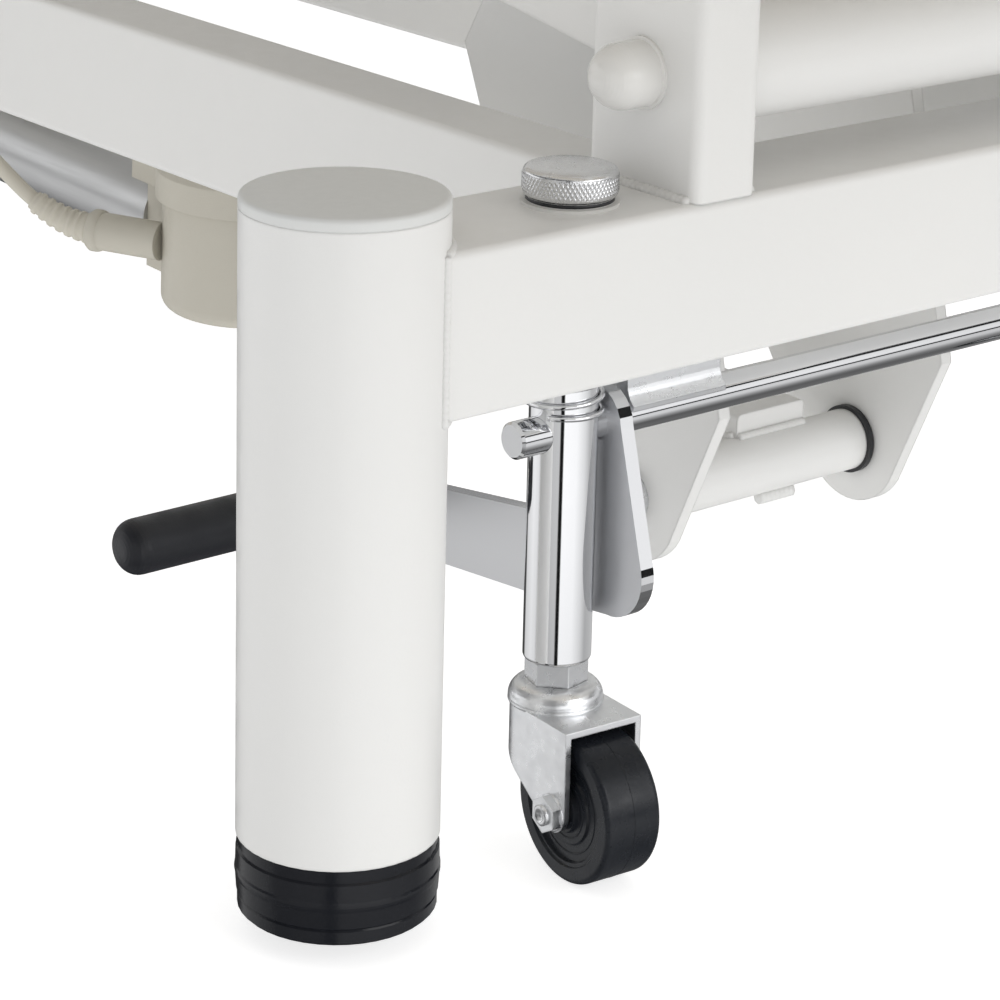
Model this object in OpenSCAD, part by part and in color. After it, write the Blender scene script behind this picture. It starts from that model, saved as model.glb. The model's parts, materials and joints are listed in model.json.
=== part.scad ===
// Height-adjustable examination couch on a narrow steel base with lowerable castors.
// X runs across the couch, Y along it with the head end at +Y, Z is up from the floor.
// It is drawn at its lowest height, with the castors lowered and the back section flat.

/* [Base] */
// Distance across the base between the corner posts' axes
post_spacing = 470; // [440:5:520]
// Distance along the base between the corner posts' axes
base_len = 1120; // [1040:20:1200]
// Diameter of the corner posts
post_d = 60; // [60:1:62]
// Side of the square end beams
beam_w = 50; // [48:1:50]
// Width of the side rails
rail_w = 30; // [28:1:32]

/* [Castors] */
// How far the lowered wheels lift the feet off the floor
foot_lift = 7.4; // [6:0.2:9]
// Distance from a post's axis to the castor's swivel axis
castor_inset = 82.5; // [80:0.5:90]
// Diameter of the wheels
wheel_d = 46.8; // [44:0.2:47]
// Width of the wheels
wheel_w = 20; // [18:0.5:20]
// Trail of the wheels behind their swivel axes
castor_trail = 18.9; // [17:0.1:20]

/* [Lift] */
// Length of the lift arms between their pivots
arm_len = 500; // [480:5:520]
// Angle of the lift arms above horizontal at the lowest height
arm_angle = 9; // [9:0.5:10]
// Distance between the front and the rear arms' lower pivots
arm_spacing = 560; // [540:10:580]

/* [Top] */
// Width of the upholstered sections
top_w = 640; // [600:10:680]
// Whole length of the top
top_len = 1900; // [1800:20:1960]
// Length of the back section
back_len = 700; // [660:10:720]
// Thickness of the upholstery
pad_t = 58; // [50:1:60]

/* [Hidden] */
$fn = 64;

// Running clearance on the radius of every turning or sliding fit
fit = 0.05;
// Gap between pieces that only pass each other
gap = 0.5;
eps = 0.01;
// Hairline between welded tubes that are drawn as separate solids
weld = 0.05;

// Base heights
post_x = post_spacing/2;
post_y = base_len/2;
boot_top = foot_lift + 23.65;
post_top = foot_lift + 212;
cap_t = 3.7;
beam_bottom = foot_lift + 150.5;
beam_top = beam_bottom + beam_w;
beam_z = (beam_bottom + beam_top)/2;
rail_x = 110;
rail_end = post_y - beam_w/2;

// Castor unit heights
castor_x = post_x - castor_inset;
sleeve_r = 10.55;
stem_r = 8.2;
sleeve_bottom = foot_lift + 57;
sleeve_top = beam_top + 2.45;
hex_bottom = sleeve_bottom - 7;
shaft_z = foot_lift + 130;
shaft_r = 5.75;
shoe_x = 103;
shoe_w = 38;
wheel_r = wheel_d/2;
race_bottom = hex_bottom - 6.2;
fork_top = race_bottom - 0.3;
castor_turn = [-4.5, 9, -12, 6];

// Lift heights
pivot_z = foot_lift + 236;
pivot_y = -post_y + 0.5;
rear_pivot_y = pivot_y + arm_spacing;
pivot_r = 8;
torque_r = 19;
upright_w = 25;
upright_x = 112.5;
upright_top = pivot_z + 32;
arm_tip_y = arm_len*cos(arm_angle);
arm_tip_z = arm_len*sin(arm_angle);
arm_x = 82;
stiff_y = 121;
stiff_r = 14;
torque_half = upright_x - upright_w/2 - 2.3;
lever_x = 52.5;
// Lever pivot, from the front arm's pivot
lever_y = 76.5;
lever_z = -170.4;
link_y = pivot_y + lever_y;
link_z = pivot_z + lever_z;
link_r = 11;
anchor_y = 340;
anchor_z = foot_lift + 94.4;
strut_len = sqrt(pow(anchor_y - link_y, 2) + pow(anchor_z - link_z, 2));
strut_angle = atan2(anchor_z - link_z, anchor_y - link_y);

// Top heights
chassis_z = pivot_z + arm_tip_z + 24;
chassis_h = 40;
frame_z = chassis_z + chassis_h;
frame_h = 20;
board_z = frame_z + frame_h;
board_t = 12;
pad_z = board_z + board_t;
top_y = top_len/2;
hinge_y = top_y - back_len;
hinge_z = pad_z + 45;
spring_r = 189;
// Both ends of the gas spring lie on one circle about the back section's hinge, so that its
// direction turns by exactly half of the section's angle
spring_low = [hinge_y + spring_r*cos(-112.5), hinge_z + spring_r*sin(-112.5)];
spring_high = [hinge_y + spring_r*cos(-37.5), hinge_z + spring_r*sin(-37.5)];
spring_angle = atan2(spring_high[1] - spring_low[1], spring_high[0] - spring_low[0]);

// Colours
white = [0.9, 0.9, 0.88];
chrome = [0.8, 0.81, 0.83];
zinc = [0.72, 0.73, 0.75];
black = [0.1, 0.11, 0.13];
beige = [0.76, 0.74, 0.68];
pad_blue = [0.25, 0.38, 0.52];

// ---- Helpers -------------------------------------------------------------------------

// Points of an arc about c from angle a0 to a1, in n steps
function arc(c, r, a0, a1, n = 12) =
    [for (i = [0:n]) let(a = a0 + (a1 - a0)*i/n) [c[0] + r*cos(a), c[1] + r*sin(a)]];

module round_rect(w, h, r) {
    square([w - 2*r, h], center = true);
    square([w, h - 2*r], center = true);
    for (sx = [-1, 1], sy = [-1, 1])
        translate([sx*(w/2 - r), sy*(h/2 - r)])
            circle(r, $fn = 32);
}

// A tube's section, with the wall's thickness, or solid with wall 0
module section(w, h, r, wall) {
    difference() {
        round_rect(w, h, r);
        if (wall > 0)
            square([w - 2*wall, h - 2*wall], center = true);
    }
}

module bar_x(x0, x1, y, z, w, h, r = 2, wall = 2.5) {
    translate([x0, y, z])
        rotate([90, 0, 90])
            linear_extrude(x1 - x0)
                section(w, h, r, wall);
}

module bar_y(y0, y1, x, z, w, h, r = 2, wall = 2.5) {
    translate([x, y1, z])
        rotate([90, 0, 0])
            linear_extrude(y1 - y0)
                section(w, h, r, wall);
}

module bar_z(z0, z1, x, y, w, h, r = 2, wall = 2.5) {
    translate([x, y, z0])
        linear_extrude(z1 - z0)
            section(w, h, r, wall);
}

// A plate in the YZ plane from an outline of [y, z] points, centred on x
module plate_x(x, t, points) {
    translate([x - t/2, 0, 0])
        rotate([90, 0, 90])
            linear_extrude(t)
                polygon(points);
}

module rod_x(x0, x1, y, z, r) {
    translate([x0, y, z])
        rotate([0, 90, 0])
            cylinder(r = r, h = x1 - x0);
}

// Children at the four castor or post places, mirrored from the corner at -X, -Y
module four_corners() {
    for (mx = [0, 1], my = [0, 1])
        mirror([mx, 0, 0])
            mirror([0, my, 0])
                children();
}

module both_ends() {
    children();
    mirror([0, 1, 0]) children();
}

module both_sides() {
    children();
    mirror([1, 0, 0]) children();
}

// ---- Base ----------------------------------------------------------------------------

module corner_posts() {
    color(white)
        four_corners()
            translate([-post_x, -post_y, boot_top])
                difference() {
                    cylinder(d = post_d, h = post_top - boot_top);
                    translate([0, 0, -1])
                        cylinder(r = post_d/2 - 2.5, h = post_top);
                }
}

// Plastic caps on the corner posts and on the uprights
module tube_caps() {
    color([0.72, 0.73, 0.71]) {
        four_corners()
            translate([-post_x, -post_y, post_top])
                rotate_extrude()
                    polygon(concat(
                        [[0, -10], [post_d/2 - 2.6, -10], [post_d/2 - 2.6, 0], [post_d/2, 0]],
                        arc([post_d/2 - 1.5, cap_t - 1.5], 1.5, 0, 90, 6),
                        [[0, cap_t]]));
        for (y = [-post_y, rear_pivot_y])
            both_sides()
                translate([-upright_x, y, upright_top]) {
                    linear_extrude(2.5)
                        round_rect(upright_w, 50, 4);
                    translate([0, 0, -8])
                        linear_extrude(8)
                            square([upright_w - 5.2, 44.8], center = true);
                }
    }
}

module foot_boots() {
    boot_h = boot_top - foot_lift;
    color(black)
        four_corners()
            translate([-post_x, -post_y, foot_lift])
                rotate_extrude()
                    polygon(concat(
                        [[0, 0], [28.4, 0], [29.4, 1], [29.4, 4.4], [29.1, 4.9], [29.7, 5.6]],
                        arc([25.8, 12.2], 4.5, -20, 20, 4),
                        [[29.9, boot_h - 4.6], [29.3, boot_h - 4], [29.4, boot_h],
                         [post_d/2 - 2.6, boot_h], [post_d/2 - 2.6, boot_h + 14],
                         [0, boot_h + 14]]));
}

// Front and rear end beams, coped round the posts and open for the castor tubes
module end_beams() {
    color(white)
        both_ends()
            difference() {
                bar_x(-post_x, post_x, -post_y, beam_z, beam_w, beam_w, 2.5, 3);
                both_sides() {
                    translate([-post_x, -post_y, beam_bottom - 1])
                        cylinder(d = post_d, h = beam_w + 2);
                    translate([-castor_x, -post_y, beam_z])
                        cylinder(r = sleeve_r + fit, h = beam_w);
                    translate([-castor_x, -post_y, beam_bottom - 1])
                        cylinder(r = 13, h = 10);
                    translate([-post_x + shoe_x - 0.3, -post_y - 5.8, beam_bottom - 1])
                        cube([shoe_w + 0.6, 11.6, 10]);
                }
            }
}

module side_rails() {
    color(white)
        both_sides()
            bar_y(-rail_end, rail_end, -rail_x, beam_z, rail_w, beam_w, 2.5, 2.5);
}

// Tubes between the rails: one carries the actuator's anchor, the others the control box
module cross_members() {
    inner = rail_x - rail_w/2;
    color(white)
        for (y = [anchor_y, box_y1 + 20])
            bar_x(-inner, inner, y, beam_z, 40, 40, 2, 2.5);
}

// Uprights on the front beam and on the rails, bored for the arms' lower pivot shafts
module pivot_uprights() {
    color(white)
        for (y = [-post_y, rear_pivot_y])
            both_sides()
                difference() {
                    bar_z(beam_top, upright_top, -upright_x, y, upright_w, 50, 4, 2.5);
                    rod_x(-post_x, 0, y == -post_y ? pivot_y : y, pivot_z, pivot_r + fit);
                }
}

module lower_pivot_shafts() {
    color(chrome)
        for (y = [pivot_y, rear_pivot_y])
            rod_x(-upright_x - 20.3, upright_x + 20.3, y, pivot_z, pivot_r);
}

// Domed plastic caps over the ends of the lower pivot shafts
module pivot_caps() {
    cap_r = 10.3;
    color(white)
        for (y = [pivot_y, rear_pivot_y])
            both_sides()
                translate([-upright_x - upright_w/2, y, pivot_z])
                    rotate([0, -90, 0])
                        rotate_extrude()
                            polygon(concat(
                                [[pivot_r + 0.1, 0], [11.2, 0], [11.2, 1], [cap_r, 1.3]],
                                arc([0, 8.2], cap_r, 0, 90, 12),
                                [[0, 8], [pivot_r + 0.1, 8]]));
}

// Thin washers between the uprights and the arms' torque tubes
module pivot_washers() {
    washer_x = upright_x - upright_w/2;
    color(white)
        for (y = [pivot_y, rear_pivot_y])
            both_sides()
                translate([-washer_x, y, pivot_z])
                    rotate([0, 90, 0])
                        difference() {
                            cylinder(r = torque_r - 1, h = 2);
                            translate([0, 0, -1])
                                cylinder(r = pivot_r + fit, h = 4);
                        }
}

// ---- Castor units --------------------------------------------------------------------

// Chrome tubes of one end's castors. They slide up and down in the end beam and carry the
// pedal shaft
module castor_tubes() {
    color(chrome)
        both_sides()
            translate([-castor_x, -post_y, 0])
                difference() {
                    translate([0, 0, sleeve_bottom])
                        rotate_extrude()
                            polygon(concat(
                                [[stem_r, 0]],
                                arc([sleeve_r - 1.4, 1.4], 1.4, -90, 0, 6),
                                [[sleeve_r, sleeve_top - sleeve_bottom],
                                 [stem_r, sleeve_top - sleeve_bottom]]));
                    rod_x(-20, 20, 0, shaft_z, shaft_r + fit);
                }
}

// Lowest coils of the springs round the castor tubes, resting on the pedal shaft
module tube_springs() {
    color(chrome)
        both_sides()
            for (z = [shaft_r + 0.9, shaft_r + 5.95])
                translate([-castor_x, -post_y, shaft_z + z])
                    rotate_extrude()
                        translate([sleeve_r + 0.95, 0])
                            circle(0.85, $fn = 24);
}

// Nylon washers under the knobs, each with its raised sealing ring
module knob_washers() {
    color(white)
        four_corners()
            translate([-castor_x, -post_y, beam_top])
                difference() {
                    union() {
                        cylinder(r = 14.9, h = 1);
                        cylinder(r = 13.2, h = 2.4);
                    }
                    translate([0, 0, -1])
                        cylinder(r = sleeve_r + 0.15, h = 5);
                }
}

// Knurled cap screw on top of a castor tube
module stem_knob() {
    teeth = 60;
    knob_r = 14.5;
    translate([-castor_x, -post_y, beam_top + 2.5]) {
        intersection() {
            linear_extrude(8.5)
                polygon([for (i = [0:2*teeth - 1])
                    let(r = i % 2 == 0 ? knob_r : knob_r - 0.45, a = 180*i/teeth)
                    [r*cos(a), r*sin(a)]]);
            rotate_extrude()
                polygon([[0, 0], [13.4, 0], [14.6, 1.2], [14.6, 7.3], [13.4, 8.5], [0, 8.5]]);
        }
        translate([0, 0, -14])
            cylinder(r = stem_r - fit, h = 14 + eps);
    }
}

// Stems of one end's castors, pressed into the tubes, with their hexagons and swivel pins
module castor_stems() {
    color(zinc)
        both_sides()
            translate([-castor_x, -post_y, 0]) {
                translate([0, 0, sleeve_bottom - eps])
                    cylinder(r = stem_r - fit, h = 50);
                translate([0, 0, hex_bottom])
                    rotate([0, 0, 12])
                        cylinder(r = 17/sqrt(3), h = sleeve_bottom - hex_bottom, $fn = 6);
                translate([0, 0, race_bottom - 1.5])
                    cylinder(r = 4, h = hex_bottom - race_bottom + 1.5 + eps);
            }
}

// Pressed fork with its domed race, its axle bolt and its nut
module castor_fork(turn) {
    wall_out = 14;
    wall_in = 12;
    axle_z = wheel_r;
    back = castor_trail + 6.2;
    side = concat(
        [[-wall_out - 1, fork_top], [-wall_out - 1, 39]],
        arc([castor_trail, axle_z], 6.2, 215, 360, 12),
        [[back, fork_top]]);
    color(zinc)
        translate([-castor_x, -post_y, 0])
            rotate([0, 0, turn]) {
                difference() {
                    intersection() {
                        linear_extrude(fork_top)
                            union() {
                                circle(wall_out);
                                translate([-wall_out, -back])
                                    square([2*wall_out, back]);
                            }
                        rotate([90, 0, 90])
                            translate([0, 0, -20])
                                linear_extrude(40)
                                    mirror([1, 0])
                                        polygon(side);
                    }
                    translate([0, 0, -1])
                        linear_extrude(fork_top - 1)
                            union() {
                                circle(wall_in);
                                translate([-wall_in, -back - 5])
                                    square([2*wall_in, back + 5]);
                            }
                    translate([0, 0, fork_top - 5])
                        cylinder(r = 4 + fit, h = 10);
                    rod_x(-20, 20, -castor_trail, axle_z, 4);
                }
                translate([0, 0, race_bottom])
                    rotate_extrude()
                        polygon(concat(
                            [[4 + fit, -0.3], [13.4, -0.3], [14.7, 0.6]],
                            arc([9.4, 0.8], 5.3, 10, 90, 8),
                            [[4 + fit, 6.1]]));
                rod_x(-wall_out - 2.2, wall_out + 2.2, -castor_trail, axle_z, 4 - eps);
                translate([-wall_out - 3.4, -castor_trail, axle_z])
                    rotate([0, 90, 0])
                        cylinder(r = 6.5/sqrt(3)*1.6, h = 3.4, $fn = 6);
                rod_x(wall_out, wall_out + 2.6, -castor_trail, axle_z, 6);
            }
}

// Moulded wheel with stepped hub rings on both faces
module castor_wheel(turn) {
    hw = wheel_w/2;
    half = concat(
        [[4 + fit, 0], [4 + fit, hw + 0.8], [7, hw + 0.8], [7.4, hw - 1], [11, hw - 1],
         [11.4, hw - 1.8], [16.2, hw - 1.8], [16.8, hw - 0.6], [17.8, hw - 0.6],
         [18.2, hw]],
        arc([wheel_r - 1.8, hw - 1.8], 1.8, 90, 0, 6));
    mirrored = [for (i = [len(half) - 1:-1:1]) [half[i][0], -half[i][1]]];
    color(black)
        translate([-castor_x, -post_y, 0])
            rotate([0, 0, turn])
                translate([0, -castor_trail, wheel_r])
                    rotate([0, 90, 0])
                        rotate_extrude()
                            polygon(concat(half, [[wheel_r, 0]], mirrored));
}

// One castor piece at corner i: 0 front left, 1 front right, 2 rear left, 3 rear right
module at_corner(i) {
    translate([i % 2 == 0 ? 0 : 2*castor_x, i < 2 ? 0 : 2*post_y, 0])
        children();
}

module castor_fork_at(i) {
    at_corner(i) castor_fork(castor_turn[i]);
}

module castor_wheel_at(i) {
    at_corner(i) castor_wheel(castor_turn[i]);
}

module stem_knob_at(i) {
    color(chrome)
        at_corner(i) stem_knob();
}

// ---- Castor pedals -------------------------------------------------------------------

pedal_y = 130;
pedal_z = -62.5;
pedal_x = 97.6;
grip_x0 = 9.2;
grip_x1 = 82;

// Shaft through both castor tubes with its lever plate, pedal arm and pedal bar, for the front end
module pedal_shaft() {
    plate_t = 5;
    plate_x0 = -post_x + pedal_x;
    half = post_x - 62.5;
    outline = concat(
        arc([0, 0], 11.9, 0, 176),
        arc([-8.5, -45], 15, 165, 272),
        [[31, -64.6]],
        arc([pedal_y + 2, pedal_z], 11, -97, 82),
        [[31, -37.2]],
        arc([24, -28], 10, 250, 182, 6));
    color(chrome)
        translate([0, -post_y, shaft_z]) {
            rotate([0, 90, 0])
                rotate_extrude()
                    polygon([[0, -half], [shaft_r - 0.8, -half], [shaft_r, 0.8 - half],
                        [shaft_r, half - 0.8], [shaft_r - 0.8, half], [0, half]]);
            plate_x(plate_x0, plate_t, outline);
            rod_x(-post_x + grip_x0 + 12, plate_x0, pedal_y, pedal_z, 6);
        }
}

// Rubber grip pushed over the pedal bar, with a domed end
module pedal_grip() {
    grip_r = 9.2;
    grip_len = grip_x1 - grip_x0;
    color(black)
        translate([-post_x + grip_x0, -post_y + pedal_y, shaft_z + pedal_z])
            rotate([0, 90, 0])
                rotate_extrude()
                    polygon(concat(
                        [[6, grip_len], [6, 12], [0, 12], [0, 0]],
                        arc([grip_r - 6.5, 6.5], 6.5, -90, 0, 8),
                        [[grip_r, grip_len - 1], [grip_r - 1, grip_len]]));
}

// Zinc shoes that ride on one pedal shaft and slide in slots in the end beam's underside
module shaft_shoes() {
    seat = shaft_r + fit;
    half = concat(
        arc([0, 0], seat, 90, 32, 8),
        [[8.3, 3.4], [8.5, 5]],
        arc([13.5, 11.5], 8, 233, 180, 6),
        [[5.5, 24.5]]);
    mirrored = [for (i = [len(half) - 1:-1:1]) [-half[i][0], half[i][1]]];
    color(zinc)
        both_sides()
            translate([-post_x + shoe_x, -post_y, shaft_z])
                rotate([90, 0, 90])
                    linear_extrude(shoe_w)
                        polygon(concat(half, mirrored));
}

// ---- Lift arms -----------------------------------------------------------------------

// Torque tubes, inclined arms and stiffening tube of one arm set, from its lower pivot
module arm_set() {
    for (tip = [0, 1])
        translate([0, tip*arm_tip_y, tip*arm_tip_z])
            difference() {
                rod_x(-torque_half, torque_half, 0, 0, torque_r);
                rod_x(-torque_half - 1, torque_half + 1, 0, 0, 12);
            }
    rotate([arm_angle, 0, 0]) {
        both_sides()
            difference() {
                bar_y(0, arm_len, -arm_x, 0, 20, 36, 2, 0);
                for (y = [0, arm_len])
                    rod_x(-arm_x - 15, -arm_x + 15, y, 0, torque_r + weld);
            }
        rod_x(-arm_x + 10 + weld, arm_x - 10 - weld, stiff_y, 0, stiff_r);
    }
}

// Outline of the lever plates that hang from the front arms, behind the end beam
lever_outline = concat(
    arc([lever_y, lever_z], 23, 210, 318, 14),
    [[120.5, -148], [171.5, -30]],
    arc([119.5, 19], 22, 10, 160, 10),
    [[57.5, -31], [34.5, -132]]);

module lift_arm_front() {
    color(white)
        translate([0, pivot_y, pivot_z]) {
            arm_set();
            both_sides()
                difference() {
                    plate_x(-lever_x, 5, lever_outline);
                    rod_x(-lever_x - 5, -lever_x + 5, lever_y, lever_z, 6 + weld);
                    rotate([arm_angle, 0, 0])
                        rod_x(-lever_x - 5, -lever_x + 5, stiff_y, 0, stiff_r + weld);
                }
        }
}

module lift_arm_rear() {
    color(white)
        translate([0, rear_pivot_y, pivot_z])
            arm_set();
}

// Bushes pressed into both ends of both tubes of one arm set
module arm_bushes(y) {
    color(black)
        translate([0, y, pivot_z])
            for (tip = [0, 1])
                both_sides()
                    translate([0, tip*arm_tip_y, tip*arm_tip_z])
                        difference() {
                            rod_x(-torque_half, -torque_half + 25, 0, 0, 12 - weld);
                            rod_x(-torque_half - 1, -torque_half + 26, 0, 0, pivot_r + fit);
                        }
}

// ---- Actuator ------------------------------------------------------------------------

// Children along the strut: origin on the link pin, +Y towards the anchor
module on_strut() {
    translate([0, link_y, link_z])
        rotate([strut_angle, 0, 0])
            children();
}

bar_x0 = 9;
motor_y = 305;
motor_r = 35;
lid_z = 20;
tube_y0 = 352;
tube_y1 = 590;

// Pivot tube between the lever plates with the bar that carries the actuator
module push_link() {
    tube_half = lever_x - 2.5 - 2.7;
    color(white)
        on_strut()
            difference() {
                union() {
                    rod_x(-tube_half, tube_half, 0, 0, link_r);
                    bar_y(0, motor_y - 20, bar_x0, 4.5, 32, 30, 2, 0);
                }
                rod_x(-tube_half - 1, tube_half + 1, 0, 0, 6 + fit);
                translate([0, motor_y, -40])
                    cylinder(r = motor_r, h = 80);
            }
}

module link_washers() {
    tube_half = lever_x - 2.5 - 2.7;
    color(black)
        on_strut()
            both_sides()
                difference() {
                    rod_x(-tube_half - 2.2, -tube_half, 0, 0, 12.3);
                    rod_x(-tube_half - 3, -tube_half + 1, 0, 0, 6 + fit);
                }
}

module link_pin() {
    half = lever_x + 2.5;
    color(zinc)
        translate([0, link_y, link_z]) {
            rod_x(-half - 3, half + 3, 0, 0, 6);
            both_sides()
                rod_x(-half - 4.5, -half - weld, 0, 0, 9);
        }
}

// Upright motor housing with the port for its cable
module motor_housing() {
    color(beige)
        on_strut() {
            translate([0, motor_y, 0])
                rotate_extrude()
                    polygon(concat([[0, -28]],
                        arc([motor_r - 6, -22], 6, -90, 0, 6),
                        [[motor_r, lid_z], [0, lid_z]]));
            translate([-18, motor_y, -20])
                cube([36, tube_y0 - motor_y, lid_z + 20]);
            translate([-30, motor_y + 18, 0])
                rotate([-90, 0, 28])
                    cylinder(r = 8, h = 30);
        }
}

module motor_lid() {
    lid_r = 38;
    color(beige)
        on_strut()
            translate([0, motor_y, lid_z]) {
                rotate_extrude()
                    polygon(concat([[0, 0], [lid_r, 0], [lid_r, 12]],
                        arc([lid_r - 6, 15], 4, 0, 90, 5), [[0, 19]]));
                translate([-26, 0, 0])
                    cube([52, tube_y0 - motor_y, 12]);
            }
}

module actuator_tube() {
    color(chrome)
        on_strut()
            difference() {
                rod_y(tube_y0, tube_y1, 0, 0, 20);
                rod_y(tube_y0 - 1, tube_y1 + 1, 0, 0, 16.5);
            }
}

module rod_y(y0, y1, x, z, r) {
    translate([x, y1, z])
        rotate([90, 0, 0])
            cylinder(r = r, h = y1 - y0);
}

// Actuator rod, from its eye on the anchor pin back into the tube
module actuator_rod() {
    rod_len = strut_len - tube_y1 + 60;
    color(chrome)
        on_strut()
            difference() {
                union() {
                    rod_y(strut_len - rod_len, strut_len - 8, 0, 0, 7);
                    rod_x(-9, 9, strut_len, 0, 12);
                }
                rod_x(-10, 10, strut_len, 0, 6 + fit);
            }
}

// Anchor bracket under its cross member, with its pin
module anchor_bracket() {
    top = beam_z - 20;
    ear = concat(
        [[20, top - anchor_z - 4], [-20, top - anchor_z - 4]],
        arc([0, 0], 14, 195, 345, 12));
    color(white)
        translate([0, anchor_y, anchor_z]) {
            both_sides()
                plate_x(-13, 6, ear);
            translate([-30, -20, top - anchor_z - 4])
                cube([60, 40, 4]);
            rod_x(-20, 20, 0, 0, 6);
        }
}

// Cable from the motor's port along the strut side, up to its grommet on the left rail
cable_route = [
    [-44.2, 349.6, 0], [-49, 358.6, 1], [-54, 367, 4], [-60, 376, 10], [-66, 386, 19],
    [-73, 398, 31], [-79, 411, 45], [-83, 425, 58], [-86, 439, 70], [-87, 452, 81]];
cable_r = 3.2;
cable_sides = 8;

function unit(v) = v/norm(v);
function tangent(p, i) = unit(p[min(i + 1, len(p) - 1)] - p[max(i - 1, 0)]);
function ring(p, i, r, n) =
    let(t = tangent(p, i), u = unit(cross(t, [0, 0, 1])), v = cross(u, t))
    [for (k = [0:n - 1]) p[i] + r*(cos(360*k/n)*u + sin(360*k/n)*v)];

// A tube swept along the points p as one closed polyhedron
module swept_tube(p, r, n) {
    last = len(p) - 1;
    polyhedron(
        points = [for (i = [0:last]) each ring(p, i, r, n)],
        faces = concat(
            [[for (k = [n - 1:-1:0]) k]],
            [[for (k = [0:n - 1]) last*n + k]],
            [for (i = [0:last - 1], k = [0:n - 1])
                [i*n + k, i*n + (k + 1) % n, (i + 1)*n + (k + 1) % n, (i + 1)*n + k]]));
}

module motor_cable() {
    color(beige)
        on_strut()
            swept_tube(cable_route, cable_r, cable_sides);
}

// ---- Controls ------------------------------------------------------------------------

box_y0 = anchor_y + 20;
box_y1 = 495;
box_z = beam_z - 22;

module control_box() {
    color(beige)
        difference() {
            translate([-55, box_y0, box_z])
                cube([110, box_y1 - box_y0, 42]);
            translate([-35, box_y0 + 20, box_z - 1])
                cube([28, 20, 19]);
        }
}

// Mains inlet let into the underside of the control box
module mains_inlet() {
    color(black)
        difference() {
            translate([-34.8, box_y0 + 20.2, box_z])
                cube([27.6, 19.6, 18]);
            translate([-32, box_y0 + 23, box_z - 1])
                cube([22, 14, 15]);
        }
}

// ---- Top -----------------------------------------------------------------------------

frame_x = 298;

// Chassis on the upper pivots with the seat frame welded on it
module top_chassis() {
    chassis_x = 112;
    lug_y = spring_low[0] - 30;
    chassis_y0 = -top_y + 60;
    chassis_y1 = rear_pivot_y + arm_tip_y + 70;
    tip_z = pivot_z + arm_tip_z;
    inner = chassis_x - 15 - weld;
    mid_z = chassis_z + chassis_h/2;
    low_z = chassis_z - weld;
    seat_y0 = -top_y + 40;
    seat_inner = frame_x - 12.5 - weld;
    seat_h = frame_h - weld;
    seat_mid = frame_z + weld + seat_h/2;
    color(white) {
        both_sides()
            bar_y(chassis_y0, chassis_y1, -chassis_x, mid_z, 30, chassis_h, 2, 2.5);
        for (y = [chassis_y0 + 20, pivot_y + arm_tip_y + 80, lug_y, chassis_y1 - 20])
            bar_x(-inner, inner, y, mid_z, 40, chassis_h, 2, 2.5);
        for (y = [pivot_y, rear_pivot_y])
            both_sides()
                translate([0, y + arm_tip_y, tip_z])
                    difference() {
                        plate_x(-102.5, 8, concat(
                            [[30, low_z - tip_z], [-30, low_z - tip_z]],
                            arc([0, 0], 19, 190, 350, 12)));
                        rod_x(-110, -95, 0, 0, pivot_r + weld);
                    }
        both_sides()
            bar_y(seat_y0, hinge_y - 6, -frame_x, seat_mid, 25, seat_h, 2, 2);
        for (y = [seat_y0 + 12.5, -top_y + 480, hinge_y - 30])
            bar_x(-seat_inner, seat_inner, y, seat_mid, 25, seat_h, 2, 2);
        both_sides() {
            difference() {
                plate_x(-frame_x - 24.5, 4, concat(
                    [[hinge_y - 70, frame_z], [hinge_y - 20, frame_z]],
                    arc([hinge_y, hinge_z], 12, -20, 160, 10),
                    [[hinge_y - 70, frame_z + 24]]));
                rod_x(-frame_x - 30, -frame_x - 20, hinge_y, hinge_z, 5 + weld);
            }
            bar_x(-frame_x - 22.5 + weld, -frame_x - 12.5 - weld, hinge_y - 50, seat_mid, 20, 16, 1, 0);
        }
        for (s = [-1, 1])
            difference() {
                plate_x(s*16, 5, concat(
                    [[lug_y + 16, low_z], [lug_y - 16, low_z]],
                    arc(spring_low, 10, 200, 370, 8)));
                rod_x(s*16 - 5, s*16 + 5, spring_low[0], spring_low[1], 4 + weld);
            }
        rod_x(-20, 20, spring_low[0], spring_low[1], 4);
    }
}

module upper_pivot_shafts() {
    color(chrome)
        for (y = [pivot_y, rear_pivot_y])
            rod_x(-112, 112, y + arm_tip_y, pivot_z + arm_tip_z, pivot_r);
}

module seat_board() {
    color([0.7, 0.6, 0.45])
        translate([-top_w/2 + 10, -top_y + 12, board_z])
            cube([top_w - 20, top_len - back_len - 24, board_t]);
}

// An upholstered section as a plain block with rounded upright corners and rounded end edges
module pad(y0, y1) {
    edge_r = 16;
    arc_z = pad_z + pad_t - edge_r;
    color(pad_blue)
        intersection() {
            translate([0, (y0 + y1)/2, pad_z])
                linear_extrude(pad_t)
                    round_rect(top_w, y1 - y0, 30);
            plate_x(0, top_w + 2, concat(
                [[y0, pad_z], [y1, pad_z]],
                arc([y1 - edge_r, arc_z], edge_r, 0, 90, 8),
                arc([y0 + edge_r, arc_z], edge_r, 90, 180, 8)));
        }
}

module seat_pad() {
    pad(-top_y, hinge_y - 3);
}

module back_pad() {
    pad(hinge_y + 3, top_y);
}

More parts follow.
